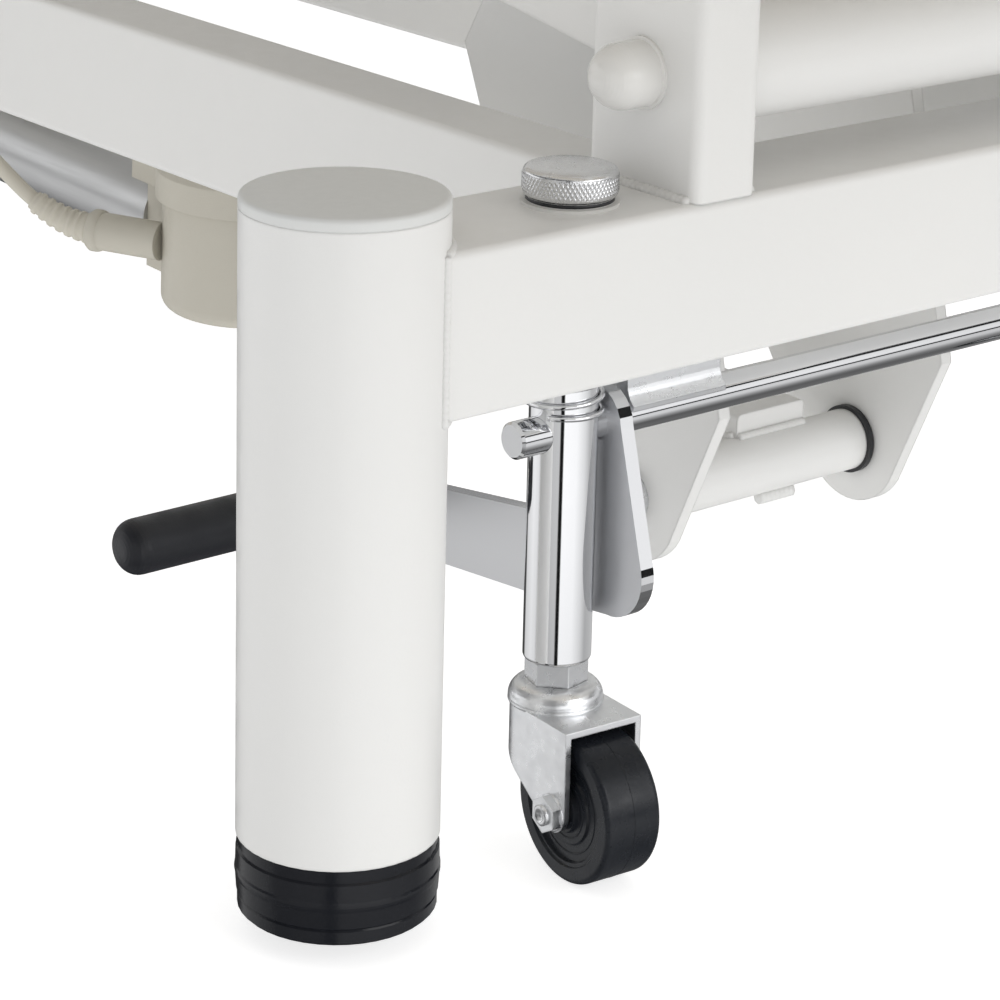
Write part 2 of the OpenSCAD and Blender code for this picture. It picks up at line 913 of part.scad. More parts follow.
// Back frame with its hinge plates and the gas spring's upper lugs and pin
module back_frame() {
    y0 = hinge_y + 18;
    y1 = top_y - 40;
    inner = frame_x - 12.5 - weld;
    bar_h = frame_h - 0.8;
    mid_z = board_z - bar_h/2;
    low_z = board_z - bar_h - weld;
    lug_y = spring_high[0] + 30;
    color(white) {
        both_sides()
            bar_y(y0, y1, -frame_x, mid_z, 25, bar_h, 2, 2);
        for (y = [hinge_y + 75, lug_y, y1 - 12.5])
            bar_x(-inner, inner, y, mid_z, 25, bar_h, 2, 2);
        both_sides() {
            difference() {
                plate_x(-frame_x - 29.5, 4, concat(
                    [[hinge_y + 70, frame_z + 24], [hinge_y + 20, frame_z + 1]],
                    arc([hinge_y, hinge_z], 12, 200, 20, 10)));
                rod_x(-frame_x - 35, -frame_x - 25, hinge_y, hinge_z, 5 + fit);
            }
            bar_x(-frame_x - 27.5 + weld, -frame_x - 12.5 - weld, hinge_y + 45, mid_z,
                20, 14, 1, 0);
        }
        for (s = [-1, 1])
            difference() {
                plate_x(s*12, 5, concat(
                    [[lug_y + 10, low_z], [lug_y - 12, low_z]],
                    arc(spring_high, 9, 150, 320, 8)));
                rod_x(s*12 - 5, s*12 + 5, spring_high[0], spring_high[1], 4 + weld);
            }
        rod_x(-16, 16, spring_high[0], spring_high[1], 4);
    }
}

// Board under the back section's upholstery
module back_board() {
    color([0.7, 0.6, 0.45])
        translate([-top_w/2 + 10, hinge_y + 14, board_z])
            cube([top_w - 20, back_len - 26, board_t]);
}

module hinge_bolts() {
    color(zinc)
        both_sides() {
            rod_x(-frame_x - 32, -frame_x - 22.5, hinge_y, hinge_z, 5);
            rod_x(-frame_x - 34, -frame_x - 31.8, hinge_y, hinge_z, 8);
        }
}

// ---- Gas spring ----------------------------------------------------------------------

spring_len = norm(spring_high - spring_low);

module on_spring() {
    translate([0, spring_low[0], spring_low[1]])
        rotate([spring_angle, 0, 0])
            children();
}

module gas_spring_body() {
    color(black)
        on_spring()
            difference() {
                union() {
                    rod_y(12, 185, 0, 0, 9);
                    rod_x(-6, 6, 0, 0, 9);
                    rod_y(5, 13, 0, 0, 5);
                }
                rod_x(-7, 7, 0, 0, 4 + fit);
                rod_y(17, 186, 0, 0, 4 + 2*fit);
            }
}

module gas_spring_rod() {
    color(chrome)
        on_spring()
            difference() {
                union() {
                    rod_y(22, spring_len - 6, 0, 0, 4);
                    rod_x(-6, 6, spring_len, 0, 8);
                }
                rod_x(-7, 7, spring_len, 0, 4 + fit);
            }
}

// ---- Nodes ---------------------------------------------------------------------------

end_beams();
corner_posts();
tube_caps();
foot_boots();
side_rails();
cross_members();
pivot_uprights();
lower_pivot_shafts();
pivot_caps();
pivot_washers();
castor_tubes();  // castor_tubes_front
mirror([0, 1, 0]) castor_tubes();  // castor_tubes_rear
tube_springs();  // tube_springs_front
mirror([0, 1, 0]) tube_springs();  // tube_springs_rear
knob_washers();
shaft_shoes();  // shaft_shoes_front
mirror([0, 1, 0]) shaft_shoes();  // shaft_shoes_rear
control_box();
mains_inlet();
anchor_bracket();
castor_stems();  // castor_stems_front
mirror([0, 1, 0]) castor_stems();  // castor_stems_rear
castor_fork_at(0);  // castor_fork_fl
castor_fork_at(1);  // castor_fork_fr
castor_fork_at(2);  // castor_fork_rl
castor_fork_at(3);  // castor_fork_rr
castor_wheel_at(0);  // castor_wheel_fl
castor_wheel_at(1);  // castor_wheel_fr
castor_wheel_at(2);  // castor_wheel_rl
castor_wheel_at(3);  // castor_wheel_rr
stem_knob_at(0);  // stem_knob_fl
stem_knob_at(1);  // stem_knob_fr
stem_knob_at(2);  // stem_knob_rl
stem_knob_at(3);  // stem_knob_rr
pedal_shaft();  // pedal_shaft_front
mirror([0, 1, 0]) pedal_shaft();  // pedal_shaft_rear
pedal_grip();  // pedal_grip_front
mirror([0, 1, 0]) pedal_grip();  // pedal_grip_rear
lift_arm_front();
lift_arm_rear();
arm_bushes(pivot_y);  // arm_bushes_front
arm_bushes(rear_pivot_y);  // arm_bushes_rear
push_link();
link_washers();
link_pin();
motor_housing();
motor_lid();
actuator_tube();
motor_cable();
actuator_rod();
top_chassis();
seat_board();
seat_pad();
back_frame();
back_board();
back_pad();
gas_spring_body();
gas_spring_rod();
upper_pivot_shafts();
hinge_bolts();
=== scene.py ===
import json
import math

import bmesh
import bpy
from mathutils import Matrix, Vector
from mathutils.bvhtree import BVHTree


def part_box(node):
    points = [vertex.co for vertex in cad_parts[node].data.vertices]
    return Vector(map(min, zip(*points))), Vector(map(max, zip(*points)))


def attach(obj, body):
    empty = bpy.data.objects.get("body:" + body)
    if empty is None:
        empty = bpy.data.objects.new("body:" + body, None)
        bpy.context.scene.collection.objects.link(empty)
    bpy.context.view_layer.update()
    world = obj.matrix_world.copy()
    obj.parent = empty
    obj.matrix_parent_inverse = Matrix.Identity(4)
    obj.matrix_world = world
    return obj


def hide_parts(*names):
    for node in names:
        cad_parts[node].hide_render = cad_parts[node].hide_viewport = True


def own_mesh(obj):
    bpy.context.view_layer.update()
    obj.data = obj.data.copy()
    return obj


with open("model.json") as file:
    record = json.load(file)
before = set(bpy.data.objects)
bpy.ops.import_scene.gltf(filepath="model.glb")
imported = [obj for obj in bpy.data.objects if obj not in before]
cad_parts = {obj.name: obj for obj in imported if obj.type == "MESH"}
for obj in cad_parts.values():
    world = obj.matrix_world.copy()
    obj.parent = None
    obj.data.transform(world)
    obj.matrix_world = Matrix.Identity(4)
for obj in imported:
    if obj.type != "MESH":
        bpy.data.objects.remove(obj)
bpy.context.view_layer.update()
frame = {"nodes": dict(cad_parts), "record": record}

# The visual model of a height-adjustable examination couch, dressed and detailed round its CAD
# bodies: materials, welds, screws, knobs, castor trim, springs, the motor's lead and cushions

NODES = frame["nodes"]
MM = 0.001
CORNERS = ("fl", "fr", "rl", "rr")

# Places of the CAD model that several pieces need, in millimetres
POST_X, POST_Y, POST_R = 235, 560, 30
CASTOR_X = 152.5
BEAM_BOTTOM, BEAM_TOP = 157.9, 207.9
AXLE_TRAIL, AXLE_Z = 18.9, 23.4
# Inner faces of the base's side rails and of the seat and back frames' side tubes
RAIL_FACE, FRAME_X = 95, 285.5


def V(x, y, z):
    """A point given in millimetres, in metres."""
    return Vector((x * MM, y * MM, z * MM))


# ---- Camera --------------------------------------------------------------------------------

# Heading to the right of +Y, downward tilt and roll of the view
YAW, PITCH, ROLL = math.radians(40.48), math.radians(14.64), math.radians(-1.61)
EYE = V(-784, -1293, 464.4)
ahead = Vector((math.sin(YAW) * math.cos(PITCH), math.cos(YAW) * math.cos(PITCH), -math.sin(PITCH)))
right0 = Vector((math.cos(YAW), -math.sin(YAW), 0))
up0 = right0.cross(ahead)
right = right0 * math.cos(ROLL) - up0 * math.sin(ROLL)
up = right0 * math.sin(ROLL) + up0 * math.cos(ROLL)
camera_data = bpy.data.cameras.new("camera")
camera = bpy.data.objects.new("camera", camera_data)
bpy.context.scene.collection.objects.link(camera)
bpy.context.scene.camera = camera
place = Matrix((right, up, -ahead)).transposed().to_4x4()
place.translation = EYE
camera.matrix_world = place
camera_data.sensor_width = 36
camera_data.lens = 122.22
# The picture is a close-up: a shifted part of a much wider view
camera_data.shift_x = -0.055
camera_data.shift_y = -0.311
camera_data.clip_start = 0.05
camera_data.clip_end = 60

# ---- Light ---------------------------------------------------------------------------------

scene = bpy.context.scene
scene.view_settings.view_transform = "Standard"


def new_node(nt, kind, **values):
    """A new shader node, with its settings and its inputs given by name."""
    n = nt.nodes.new(kind)
    for key, value in values.items():
        if hasattr(n, key):
            setattr(n, key, value)
        else:
            n.inputs[key.replace("_", " ")].default_value = value
    return n


def fill_ramp(ramp, stops):
    """Sets a colour ramp to grey levels, given as (position, level) pairs."""
    ramp.elements[0].position = stops[0][0]
    ramp.elements[1].position = stops[-1][0]
    for position, _ in stops[1:-1]:
        ramp.elements.new(position)
    for element, (_, grey) in zip(ramp.elements, stops):
        element.color = (grey, grey, grey, 1)


# What the chrome reflects, by direction round the couch (0 to 1 is -X, -Y, +X, +Y, -X) ...
ROUND_BANDS = [(0.0, 0.50), (0.110, 0.62), (0.118, 0.01), (0.144, 0.01), (0.150, 1.15),
               (0.27, 1.1), (0.36, 0.80), (0.42, 0.50), (0.56, 0.60), (0.64, 0.25), (0.70, 0.05),
               (0.745, 0.08), (0.765, 0.75), (0.86, 0.95), (0.915, 0.85), (0.935, 0.45)]
# ... and by height (0 is straight down, 0.5 the horizon): a dark line, a white wall, a grey ceiling
HEIGHT_BANDS = [(0.0, 0.35), (0.15, 0.25), (0.24, 0.6), (0.33, 1.05), (0.425, 1.0),
                (0.436, 0.02), (0.474, 0.02), (0.484, 1.3), (0.66, 1.3), (0.67, 0.02),
                (0.71, 0.02), (0.725, 0.24), (1.0, 0.40)]
AMBIENT = 0.53


def studio_world():
    """Even light for everything, and a banded studio that only reflections see."""
    world = bpy.data.worlds.new("studio")
    scene.world = world
    world.use_nodes = True
    nt = world.node_tree
    nt.nodes.clear()
    coord = nt.nodes.new("ShaderNodeTexCoord")
    xyz = nt.nodes.new("ShaderNodeSeparateXYZ")
    nt.links.new(coord.outputs["Generated"], xyz.inputs[0])
    angle = new_node(nt, "ShaderNodeMath", operation="ARCTAN2")
    nt.links.new(xyz.outputs["Y"], angle.inputs[0])
    nt.links.new(xyz.outputs["X"], angle.inputs[1])
    turn = new_node(nt, "ShaderNodeMapRange", From_Min=-math.pi, From_Max=math.pi)
    nt.links.new(angle.outputs[0], turn.inputs["Value"])
    ramp = nt.nodes.new("ShaderNodeValToRGB")
    fill_ramp(ramp.color_ramp, ROUND_BANDS)
    nt.links.new(turn.outputs[0], ramp.inputs[0])
    height = nt.nodes.new("ShaderNodeValToRGB")
    fill_ramp(height.color_ramp, HEIGHT_BANDS)
    lift = new_node(nt, "ShaderNodeMapRange", From_Min=-1.0)
    nt.links.new(xyz.outputs["Z"], lift.inputs["Value"])
    nt.links.new(lift.outputs[0], height.inputs[0])
    both = new_node(nt, "ShaderNodeMix", data_type="RGBA", blend_type="MULTIPLY")
    both.inputs[0].default_value = 1.0
    nt.links.new(ramp.outputs[0], both.inputs[6])
    nt.links.new(height.outputs[0], both.inputs[7])
    path = nt.nodes.new("ShaderNodeLightPath")
    mix = new_node(nt, "ShaderNodeMix", data_type="RGBA")
    nt.links.new(path.outputs["Is Glossy Ray"], mix.inputs[0])
    mix.inputs[6].default_value = (AMBIENT, AMBIENT, AMBIENT, 1)
    nt.links.new(both.outputs[2], mix.inputs[7])
    bg = new_node(nt, "ShaderNodeBackground", Strength=1.0)
    out = nt.nodes.new("ShaderNodeOutputWorld")
    nt.links.new(mix.outputs[2], bg.inputs["Color"])
    nt.links.new(bg.outputs[0], out.inputs[0])


studio_world()


def area_light(name, at, towards, size, power, mirrored_in_chrome=True):
    """A rectangular lamp that faces a point; its size is in metres and its power in watts."""
    data = bpy.data.lights.new(name, "AREA")
    data.shape = "RECTANGLE"
    data.size, data.size_y = size
    data.energy = power
    obj = bpy.data.objects.new(name, data)
    scene.collection.objects.link(obj)
    obj.location = at
    obj.rotation_euler = (towards - obj.location).to_track_quat("-Z", "Y").to_euler()
    obj.visible_glossy = mirrored_in_chrome


area_light("key", Vector((0.7, -3.4, 1.5)), Vector((-0.1, -0.5, 0.15)), (2.2, 2.0), 32)
area_light("side", Vector((-3.2, -0.6, 1.3)), Vector((-0.1, -0.3, 0.15)), (1.6, 2.4), 4, False)
area_light("above", Vector((0.2, 0.1, 3.4)), Vector((0, 0, 0)), (2.6, 3.2), 5, False)

# ---- Materials -----------------------------------------------------------------------------


class Paint:
    """A Principled material whose colour, roughness and bump come from layered noise; its colour
    can also carry painted shade in the corners.
    """

    def __init__(self, name, colour, rough, metal=0.0, **plain):
        self.mat = bpy.data.materials.new(name)
        self.mat.use_nodes = True
        self.nt = self.mat.node_tree
        self.bsdf = self.nt.nodes["Principled BSDF"]
        self.colour = colour
        self.bsdf.inputs["Base Color"].default_value = (*colour, 1)
        self.bsdf.inputs["Roughness"].default_value = rough
        self.bsdf.inputs["Metallic"].default_value = metal
        for key, value in plain.items():
            self.bsdf.inputs[key.replace("_", " ")].default_value = value
        self.coord = self.nt.nodes.new("ShaderNodeTexCoord")
        self.normal = None

    def place(self, stretch):
        """Object coordinates, scaled by stretch."""
        if stretch == (1, 1, 1):
            return self.coord.outputs["Object"]
        m = new_node(self.nt, "ShaderNodeMapping", Scale=stretch)
        self.nt.links.new(self.coord.outputs["Object"], m.inputs[0])
        return m.outputs[0]

    def noise(self, scale, detail=3.0, rough=0.5, stretch=(1, 1, 1), kind="NOISE"):
        """A pattern from 0 to 1: noise, rounded cells, flat spangles or waves."""
        if kind == "NOISE":
            n = new_node(self.nt, "ShaderNodeTexNoise", Detail=detail, Roughness=rough)
            result = n.outputs["Fac"]
        elif kind == "CELLS":
            n = new_node(self.nt, "ShaderNodeTexVoronoi", feature="SMOOTH_F1")
            result = n.outputs["Distance"]
        elif kind == "SPANGLE":
            n = self.nt.nodes.new("ShaderNodeTexVoronoi")
            sep = self.nt.nodes.new("ShaderNodeSeparateColor")
            self.nt.links.new(n.outputs["Color"], sep.inputs[0])
            result = sep.outputs[0]
        else:
            n = new_node(self.nt, "ShaderNodeTexWave", Distortion=detail, Detail=2.0)
            result = n.outputs["Fac"]
        n.inputs["Scale"].default_value = scale
        self.nt.links.new(self.place(stretch), n.inputs["Vector"])
        return result

    def spread(self, value, low, high, lo_in=0.3, hi_in=0.7):
        """Maps value from the range lo_in to hi_in to the range low to high."""
        r = new_node(self.nt, "ShaderNodeMapRange", From_Min=lo_in, From_Max=hi_in,
                     To_Min=low, To_Max=high)
        self.nt.links.new(value, r.inputs["Value"])
        return r.outputs[0]

    def tint(self, value, other):
        """Runs the colour to another one where value is high."""
        m = new_node(self.nt, "ShaderNodeMix", data_type="RGBA")
        if self.bsdf.inputs["Base Color"].is_linked:
            self.nt.links.new(self.bsdf.inputs["Base Color"].links[0].from_socket, m.inputs[6])
        else:
            m.inputs[6].default_value = (*self.colour, 1)
        m.inputs[7].default_value = (*other, 1)
        self.nt.links.new(value, m.inputs[0])
        self.nt.links.new(m.outputs[2], self.bsdf.inputs["Base Color"])

    def gloss(self, value, low, high):
        """Lets the roughness follow value."""
        self.nt.links.new(self.spread(value, low, high), self.bsdf.inputs["Roughness"])

    def bump(self, value, depth, strength=1.0):
        """Adds relief of this depth in metres on top of what there is."""
        b = new_node(self.nt, "ShaderNodeBump", Strength=strength, Distance=depth)
        self.nt.links.new(value, b.inputs["Height"])
        if self.normal is not None:
            self.nt.links.new(self.normal, b.inputs["Normal"])
        self.normal = b.outputs[0]
        self.nt.links.new(self.normal, self.bsdf.inputs["Normal"])

    def soft_edges(self, radius):
        """Rounds the shading of hard edges."""
        b = new_node(self.nt, "ShaderNodeBevel", samples=4, Radius=radius)
        self.normal = b.outputs[0]
        self.nt.links.new(self.normal, self.bsdf.inputs["Normal"])

    def paint_corner_shade(self, other, amount, reach):
        """Painted shade: the colour is darkened towards other where ambient occlusion finds
        corners, broken up by noise.
        """
        ao = new_node(self.nt, "ShaderNodeAmbientOcclusion", samples=4, Distance=reach)
        dark = self.spread(ao.outputs["AO"], amount, 0.0, 0.25, 0.85)
        times = new_node(self.nt, "ShaderNodeMath", operation="MULTIPLY")
        self.nt.links.new(dark, times.inputs[0])
        self.nt.links.new(self.spread(self.noise(60, 4), 0.4, 1.0), times.inputs[1])
        self.tint(times.outputs[0], other)


def make_materials():
    """The finish of every material slot in the record, and those that only pieces here use."""
    m = {}
    p = Paint("powder_coat", (0.80, 0.798, 0.785), 0.34, Specular_IOR_Level=0.5)
    p.soft_edges(0.0012)
    # Painted shade: corners darkened towards a darker grey by ambient occlusion
    p.paint_corner_shade((0.57, 0.57, 0.55), 0.45, 0.012)
    p.tint(p.spread(p.noise(9, 2), 0.0, 0.35), (0.765, 0.768, 0.758))
    p.gloss(p.noise(140, 2), 0.28, 0.42)
    p.bump(p.noise(1100, 2, 0.4), 0.00012, 0.35)
    p.bump(p.noise(260, 1, 0.3), 0.0003, 0.10)
    m["painted_steel"] = p.mat

    p = Paint("cap_grey", (0.71, 0.72, 0.71), 0.42)
    p.soft_edges(0.0008)
    p.tint(p.spread(p.noise(25, 3), 0.0, 0.3), (0.67, 0.68, 0.67))
    p.gloss(p.noise(300, 2), 0.36, 0.5)
    p.bump(p.noise(1700, 2, 0.5), 0.0001, 0.35)
    m["grey_caps"] = p.mat

    p = Paint("boot_rubber", (0.007, 0.008, 0.011), 0.2, Specular_IOR_Level=0.26)
    p.tint(p.spread(p.noise(30, 4), 0.0, 0.5), (0.014, 0.015, 0.019))
    p.gloss(p.noise(80, 4), 0.14, 0.26)
    p.bump(p.noise(900, 2), 0.00015, 0.25)
    m["boot_rubber"] = p.mat

    p = Paint("chrome_plate", (0.83, 0.835, 0.85), 0.05, 1.0)
    p.tint(p.spread(p.noise(18, 4), 0.0, 0.25), (0.76, 0.77, 0.79))
    p.gloss(p.noise(220, 5), 0.035, 0.09)
    p.bump(p.noise(500, 3, 0.6, (1, 1, 0.15)), 0.00002, 0.12)
    m["chrome_steel"] = p.mat

    # The pedal's flat plates are linished before plating, its round bars are not
    p = Paint("chrome_plate_flat", (0.78, 0.785, 0.80), 0.05, 1.0)
    p.tint(p.spread(p.noise(18, 4), 0.0, 0.25), (0.70, 0.71, 0.73))
    split = p.nt.nodes.new("ShaderNodeSeparateXYZ")
    p.nt.links.new(p.coord.outputs["Normal"], split.inputs[0])
    across = new_node(p.nt, "ShaderNodeMath", operation="ABSOLUTE")
    p.nt.links.new(split.outputs[0], across.inputs[0])
    flat = p.spread(across.outputs[0], 0.06, 0.42, 0.9, 0.99)
    p.nt.links.new(flat, p.bsdf.inputs["Roughness"])
    p.bump(p.noise(500, 3, 0.6, (1, 0.15, 1)), 0.00002, 0.12)
    m["chrome_flat"] = p.mat

    p = Paint("zinc_plate", (0.88, 0.89, 0.905), 0.3, 1.0)
    p.soft_edges(0.0005)
    p.tint(p.spread(p.noise(160, 1, kind="SPANGLE"), 0.0, 0.22, 0.0, 1.0), (0.74, 0.755, 0.78))
    p.gloss(p.noise(260, 4), 0.24, 0.4)
    p.bump(p.noise(650, 2), 0.00004, 0.25)
    m["zinc_steel"] = p.mat

    p = Paint("satin_silver", (0.55, 0.555, 0.56), 0.34, 0.85)
    p.tint(p.spread(p.noise(30, 4, 0.6, (1, 0.1, 1)), 0.0, 0.4), (0.48, 0.485, 0.49))
    p.gloss(p.noise(700, 3, 0.6, (1, 0.03, 1)), 0.28, 0.42)
    p.bump(p.noise(1300, 2, 0.5, (1, 0.02, 1)), 0.00005, 0.25)
    m["satin_steel"] = p.mat

    p = Paint("black_lacquer", (0.015, 0.015, 0.016), 0.28, Specular_IOR_Level=0.5)
    p.tint(p.spread(p.noise(30, 3), 0.0, 0.4), (0.03, 0.03, 0.032))
    p.gloss(p.noise(120, 3), 0.22, 0.38)
    p.bump(p.noise(900, 2), 0.0001, 0.25)
    m["black_steel"] = p.mat

    p = Paint("white_gloss_cap", (0.79, 0.785, 0.765), 0.2, Specular_IOR_Level=0.55)
    p.tint(p.spread(p.noise(20, 3), 0.0, 0.25), (0.75, 0.745, 0.725))
    p.gloss(p.noise(150, 2), 0.16, 0.26)
    p.bump(p.noise(700, 2), 0.0001, 0.12)
    m["white_caps"] = p.mat

    p = Paint("white_nylon", (0.76, 0.755, 0.735), 0.4)
    p.tint(p.spread(p.noise(40, 3), 0.0, 0.3), (0.7, 0.695, 0.67))
    p.gloss(p.noise(200, 2), 0.34, 0.48)
    p.bump(p.noise(1200, 2), 0.0001, 0.3)
    m["white_nylon"] = p.mat

    p = Paint("black_plastic", (0.016, 0.017, 0.02), 0.36)
    p.tint(p.spread(p.noise(60, 3), 0.0, 0.5), (0.03, 0.031, 0.034))
    p.gloss(p.noise(240, 2), 0.3, 0.46)
    p.bump(p.noise(1400, 2), 0.00012, 0.35)
    m["black_plastic"] = p.mat

    p = Paint("beige_plastic", (0.56, 0.535, 0.465), 0.45)
    p.soft_edges(0.0008)
    # Painted shade: corners darkened towards a darker beige by ambient occlusion
    p.paint_corner_shade((0.36, 0.335, 0.28), 0.5, 0.01)
    p.tint(p.spread(p.noise(35, 3), 0.0, 0.3), (0.52, 0.495, 0.43))
    p.gloss(p.noise(300, 2), 0.38, 0.54)
    p.bump(p.noise(1500, 2, 0.5), 0.00015, 0.4)
    m["beige_plastic"] = p.mat

    p = Paint("cable_sheath", (0.62, 0.59, 0.51), 0.42)
    p.tint(p.spread(p.noise(60, 3), 0.0, 0.4), (0.55, 0.52, 0.45))
    p.gloss(p.noise(350, 2), 0.36, 0.5)
    p.bump(p.noise(1500, 2), 0.0001, 0.3)
    m["cable_sheath"] = p.mat

    p = Paint("grip_rubber", (0.010, 0.011, 0.015), 0.42, Specular_IOR_Level=0.45)
    p.tint(p.spread(p.noise(45, 4), 0.0, 0.5), (0.019, 0.02, 0.026))
    p.gloss(p.noise(160, 3), 0.34, 0.52)
    p.bump(p.noise(1300, 3, 0.6), 0.00018, 0.4)
    m["grip_rubber"] = p.mat

    p = Paint("wheel_plastic", (0.010, 0.012, 0.016), 0.26, Specular_IOR_Level=0.26)
    p.soft_edges(0.0004)
    p.tint(p.spread(p.noise(50, 4), 0.0, 0.5), (0.022, 0.024, 0.029))
    p.gloss(p.noise(150, 4), 0.2, 0.36)
    p.bump(p.noise(900, 2), 0.00012, 0.3)
    m["wheel_plastic"] = p.mat

    p = Paint("birch_ply", (0.66, 0.62, 0.56), 0.5)
    grain = p.noise(5, 6.0, 0.5, (9, 1, 9), "WAVE")
    p.tint(p.spread(grain, 0.0, 0.6, 0.2, 0.9), (0.56, 0.51, 0.44))
    p.tint(p.spread(p.noise(40, 4, 0.6, (6, 0.4, 6)), 0.0, 0.4), (0.72, 0.69, 0.63))
    p.gloss(p.noise(60, 3, 0.5, (4, 0.5, 4)), 0.42, 0.62)
    p.bump(p.noise(220, 4, 0.6, (5, 0.3, 5)), 0.0002, 0.3)
    m["plywood"] = p.mat

    p = Paint("vinyl", (0.075, 0.155, 0.255), 0.4, Specular_IOR_Level=0.45, Sheen_Weight=0.06)
    p.tint(p.spread(p.noise(7, 4), 0.0, 0.5), (0.06, 0.13, 0.22))
    p.tint(p.spread(p.noise(420, 1, kind="CELLS"), 0.45, 0.0, 0.0, 0.5), (0.045, 0.10, 0.17))
    p.gloss(p.noise(420, 1, kind="CELLS"), 0.5, 0.34)
    p.bump(p.noise(420, 1, kind="CELLS"), 0.0005, 0.35)
    p.bump(p.noise(38, 3), 0.0012, 0.18)
    m["upholstery"] = p.mat

    p = Paint("piping_vinyl", (0.055, 0.12, 0.20), 0.36, Specular_IOR_Level=0.5)
    p.tint(p.spread(p.noise(60, 3), 0.0, 0.5), (0.04, 0.09, 0.155))
    p.gloss(p.noise(300, 2), 0.3, 0.44)
    p.bump(p.noise(600, 1, kind="CELLS"), 0.0003, 0.35)
    m["piping"] = p.mat

    p = Paint("thread", (0.30, 0.38, 0.46), 0.6, Sheen_Weight=0.2)
    p.tint(p.spread(p.noise(400, 3), 0.0, 0.5), (0.22, 0.29, 0.36))
    p.gloss(p.noise(900, 2), 0.5, 0.7)
    p.bump(p.noise(2500, 2), 0.0001, 0.5)
    m["thread"] = p.mat

    p = Paint("knob_metal", (0.76, 0.765, 0.775), 0.22, 1.0)
    p.tint(p.spread(p.noise(60, 4), 0.0, 0.4), (0.66, 0.665, 0.68))
    p.gloss(p.noise(500, 4), 0.16, 0.3)
    p.bump(p.noise(1100, 3), 0.00006, 0.3)
    m["knob_metal"] = p.mat
    return m


MATS = make_materials()


def dress():
    """Gives every CAD node the finish of its slot."""
    slots = {s["node"]: s["material_slot"] for s in frame["record"]["subparts"]}
    for name, obj in NODES.items():
        obj.data.materials.clear()
        finish = "chrome_flat" if name.startswith("pedal_shaft") else slots[name]
        obj.data.materials.append(MATS[finish])


dress()

# ---- Mesh helpers --------------------------------------------------------------------------


def piece(name, body, bm, slot, material=None, smooth=True, stands_for=()):
    """Turns a bmesh into a piece on a body, in its slot's finish or another material."""
    mesh = bpy.data.meshes.new(name)
    bmesh.ops.recalc_face_normals(bm, faces=bm.faces[:])
    bm.to_mesh(mesh)
    bm.free()
    for f in mesh.polygons:
        f.use_smooth = smooth
    mesh.materials.append(MATS[material or slot])
    obj = bpy.data.objects.new(name, mesh)
    scene.collection.objects.link(obj)
    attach(obj, body)
    if stands_for:
        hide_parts(*stands_for)
    return obj


def frames_along(points, closed=False):
    """Points with two axes across the path at each, turning as little as possible."""
    n = len(points)
    tangents = []
    for i in range(n):
        a = points[(i - 1) % n] if closed or i > 0 else points[i]
        b = points[(i + 1) % n] if closed or i < n - 1 else points[i]
        tangents.append((b - a).normalized())
    start = Vector((0, 0, 1)) if abs(tangents[0].z) < 0.9 else Vector((1, 0, 0))
    u = (start - tangents[0] * start.dot(tangents[0])).normalized()
    rows = []
    for p, t in zip(points, tangents):
        u = (u - t * u.dot(t)).normalized()
        rows.append((p, u, t.cross(u)))
    return rows


def add_tube(bm, points, radius, sides=12, closed=False):
    """A tube along points; radius is a number or a function of the index."""
    rows = frames_along(points, closed)
    loops = []
    for i, (p, u, v) in enumerate(rows):
        r = radius(i) if callable(radius) else radius
        loops.append([bm.verts.new(p + r * (math.cos(2 * math.pi * k / sides) * u
                                            + math.sin(2 * math.pi * k / sides) * v))
                      for k in range(sides)])
    n = len(loops)
    for i in range(n if closed else n - 1):
        a, b = loops[i], loops[(i + 1) % n]
        for k in range(sides):
            bm.faces.new((a[k], a[(k + 1) % sides], b[(k + 1) % sides], b[k]))
    if not closed:
        bm.faces.new(loops[0][::-1])
        bm.faces.new(loops[-1])


def add_lathe(bm, profile, place, steps=48, shape=None):
    """Revolves (radius, height) points about local Z; shape(angle, i) scales a radius."""
    loops = []
    for i, (r, h) in enumerate(profile):
        if r < 1e-7:
            loops.append([bm.verts.new(place @ Vector((0, 0, h)))])
            continue
        row = []
        for k in range(steps):
            a = 2 * math.pi * k / steps
            q = r * (shape(a, i) if shape else 1.0)
            row.append(bm.verts.new(place @ Vector((q * math.cos(a), q * math.sin(a), h))))
        loops.append(row)
    for a, b in zip(loops, loops[1:]):
        for k in range(steps):
            j = (k + 1) % steps
            if len(a) == 1 and len(b) == 1:
                continue
            if len(a) == 1:
                bm.faces.new((a[0], b[j], b[k]))
            elif len(b) == 1:
                bm.faces.new((a[k], a[j], b[0]))
            else:
                bm.faces.new((a[k], a[j], b[j], b[k]))


def smooth_path(points, per):
    """A Catmull-Rom curve through the points, with per steps between each two."""
    out = []
    n = len(points)
    for i in range(n - 1):
        p0, p1, p2, p3 = (points[max(i - 1, 0)], points[i], points[i + 1],
                          points[min(i + 2, n - 1)])
        for k in range(per):
            t = k / per
            out.append(0.5 * ((2 * p1) + (p2 - p0) * t + (2 * p0 - 5 * p1 + 4 * p2 - p3) * t * t
                              + (3 * p1 - p0 - 3 * p2 + p3) * t * t * t))
    out.append(points[-1])
    return out


def even(points, step):
    """The same path with points a step apart."""
    out = [points[0].copy()]
    rest = step
    for a, b in zip(points, points[1:]):
        d = (b - a).length
        while d >= rest:
            a = a + (b - a) * (rest / d)
            out.append(a.copy())
            d = (b - a).length
            rest = step
        rest -= d
    if (out[-1] - points[-1]).length > step * 0.3:
        out.append(points[-1].copy())
    return out


def axis_place(at, axis):
    """A matrix that stands local Z along axis at a point."""
    m = Vector(axis).normalized().to_track_quat("Z", "Y").to_matrix().to_4x4()
    m.translation = at
    return m


